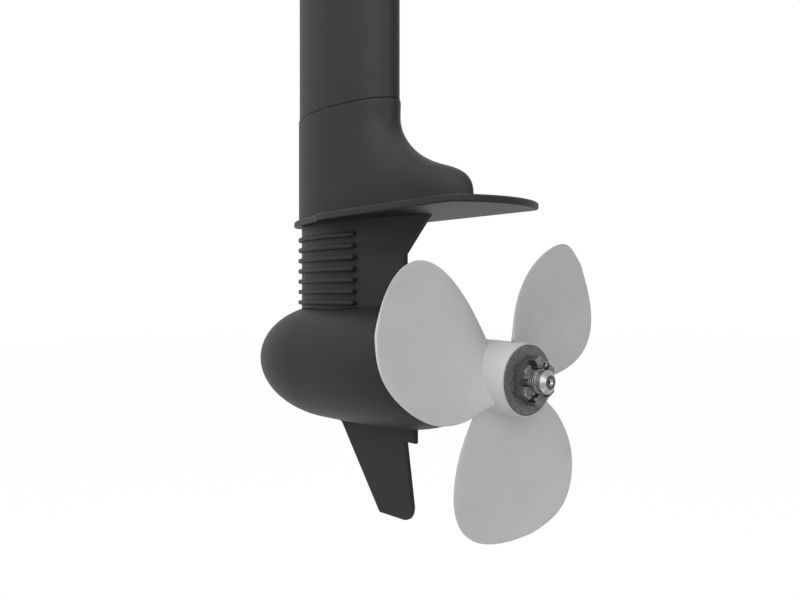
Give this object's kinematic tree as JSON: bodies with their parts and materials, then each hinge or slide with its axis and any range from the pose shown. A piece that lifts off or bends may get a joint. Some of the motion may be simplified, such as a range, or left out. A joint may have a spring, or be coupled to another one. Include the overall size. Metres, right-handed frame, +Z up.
{
  "type": "electric outboard motor",
  "caption": "Transom-mounted electric outboard: clamp brackets, steerable tilting leg, ribbed lower unit with motor pod and fin, bladed propeller, head and folding tiller.",
  "frame": {"origin": "middle of the transom's top edge, on the transom's aft face, where the clamp brackets bear", "axes": "+Z up, +Y aft, away from the boat, +X to port"},
  "size_m": [0.2631, 0.8748, 1.0504],
  "materials": {
    "black_paint": "satin black powder coat on cast aluminium",
    "black_plastic": "fine satin texture",
    "propeller_plastic": "pale grey, matt",
    "zinc_steel": "dull grey, mottled",
    "stainless": "turned, bright",
    "bearing_steel": "ground",
    "lamination": "laminated",
    "copper": "enamelled wire",
    "magnet": "plated",
    "seal_rubber": "matt",
    "grip_rubber": "soft, matt",
    "pad_plastic": "smooth, self-coloured",
    "arm_aluminium": "satin black powder coat on aluminium",
    "window": "clear, dark behind",
    "button_plastic": "grey",
    "key_plastic": "red"
  },
  "bodies": {
    "mount_brackets": {"port_bracket": "black_paint", "starboard_bracket": "black_paint", "tilt_tube": "stainless", "tilt_tube_nuts": "stainless"},
    "tilt_pin": {"tilt_pin": "stainless"},
    "swivel": {"swivel_bracket": "black_paint", "upper_bush": "pad_plastic", "lower_bush": "pad_plastic"},
    "friction_knob": {"friction_knob": "pad_plastic"},
    "steered_leg": {"kingpin": "stainless", "kingpin_nut": "stainless", "upper_yoke": "black_paint", "upper_strap": "black_paint", "lower_yoke": "black_paint", "lower_strap": "black_paint", "yoke_bolts": "stainless", "leg": "black_paint", "fairing": "black_paint", "lower_housing": "black_paint", "tail_cap": "black_paint", "ring_seal": "seal_rubber", "fin": "black_plastic", "stator_core": "lamination", "stator_windings": "copper", "front_bearing": "bearing_steel", "rear_bearing": "bearing_steel", "shaft_seal": "seal_rubber", "motor_cable": "seal_rubber", "tie_rods": "stainless", "tie_rod_nuts": "stainless", "head_base": "black_plastic", "head_cover": "black_plastic", "cover_seal": "seal_rubber", "cover_screws": "stainless", "controller": "black_plastic", "battery_socket": "black_plastic", "carry_handle": "grip_rubber", "tiller_bracket": "arm_aluminium", "tiller_pin": "stainless"},
    "propeller": {"motor_shaft": "stainless", "rotor_core": "lamination", "rotor_magnets": "magnet", "thrust_collar": "stainless", "drive_pin": "stainless", "propeller": "propeller_plastic", "hub_washer": "zinc_steel", "castle_nut": "stainless", "cotter_pin": "stainless"},
    "port_pad": {"port_pad": "pad_plastic"},
    "port_clamp_screw": {"port_clamp_screw": "stainless"},
    "starboard_pad": {"starboard_pad": "pad_plastic"},
    "starboard_clamp_screw": {"starboard_clamp_screw": "stainless"},
    "tiller": {"tiller_arm": "arm_aluminium", "tiller_tube": "arm_aluminium", "display": "black_plastic", "display_window": "window"},
    "twist_grip": {"twist_grip": "grip_rubber"},
    "power_button": {"power_button": "button_plastic"},
    "safety_key": {"safety_key": "key_plastic"}
  },
  "joints": [
    {"name": "tilt", "type": "hinge", "parent": "mount_brackets", "child": "swivel", "pos_m": [0, -0.008, 0.03], "axis": [1, 0, 0], "range_deg": [0, 65]},
    {"name": "steering", "type": "hinge", "parent": "swivel", "child": "steered_leg", "pos_m": [0, 0.064, 0], "axis": [0, 0, 1], "range_deg": [-40, 40]},
    {"name": "propeller_spin", "type": "hinge", "parent": "steered_leg", "child": "propeller", "pos_m": [0, 0.42665, -0.6502], "axis": [0, 1, 0], "continuous": true},
    {"name": "steering_friction", "type": "hinge", "parent": "swivel", "child": "friction_knob", "pos_m": [0.04, 0.064, -0.1], "axis": [1, 0, 0], "range_deg": [-90, 90]},
    {"name": "tilt_pin_pull", "type": "slide", "parent": "mount_brackets", "child": "tilt_pin", "axis": [1, 0, 0], "range_m": [0, 0.14]},
    {"name": "port_pad_slide", "type": "slide", "parent": "mount_brackets", "child": "port_pad", "axis": [0, 1, 0], "range_m": [-0.018, 0.036]},
    {"name": "port_screw_turn", "type": "hinge", "parent": "port_pad", "child": "port_clamp_screw", "pos_m": [0.061, -0.16, -0.062], "axis": [0, 1, 0], "range_deg": [-1620, 3240]},
    {"name": "starboard_pad_slide", "type": "slide", "parent": "mount_brackets", "child": "starboard_pad", "axis": [0, 1, 0], "range_m": [-0.018, 0.036]},
    {"name": "starboard_screw_turn", "type": "hinge", "parent": "starboard_pad", "child": "starboard_clamp_screw", "pos_m": [-0.061, -0.16, -0.062], "axis": [0, 1, 0], "range_deg": [-1620, 3240]},
    {"name": "tiller_fold", "type": "hinge", "parent": "steered_leg", "child": "tiller", "pos_m": [0, 0.006, 0.15], "axis": [-1, 0, 0], "range_deg": [0, 85]},
    {"name": "throttle_twist", "type": "hinge", "parent": "tiller", "child": "twist_grip", "pos_m": [0, -0.365, 0.15], "axis": [0, 1, 0], "range_deg": [-45, 45]},
    {"name": "power_press", "type": "slide", "parent": "tiller", "child": "power_button", "axis": [0, 0, -1], "range_m": [0, 0.002], "stiffness_N_per_m": 800, "springref_m": -0.0005},
    {"name": "key_pull", "type": "slide", "parent": "tiller", "child": "safety_key", "axis": [0, 0, 1], "range_m": [0, 0.018]}
  ],
  "couplings": [
    {"joint": "port_screw_turn", "follows": "port_pad_slide", "rad_per_m": 1570.8},
    {"joint": "starboard_screw_turn", "follows": "starboard_pad_slide", "rad_per_m": 1570.8}
  ]
}
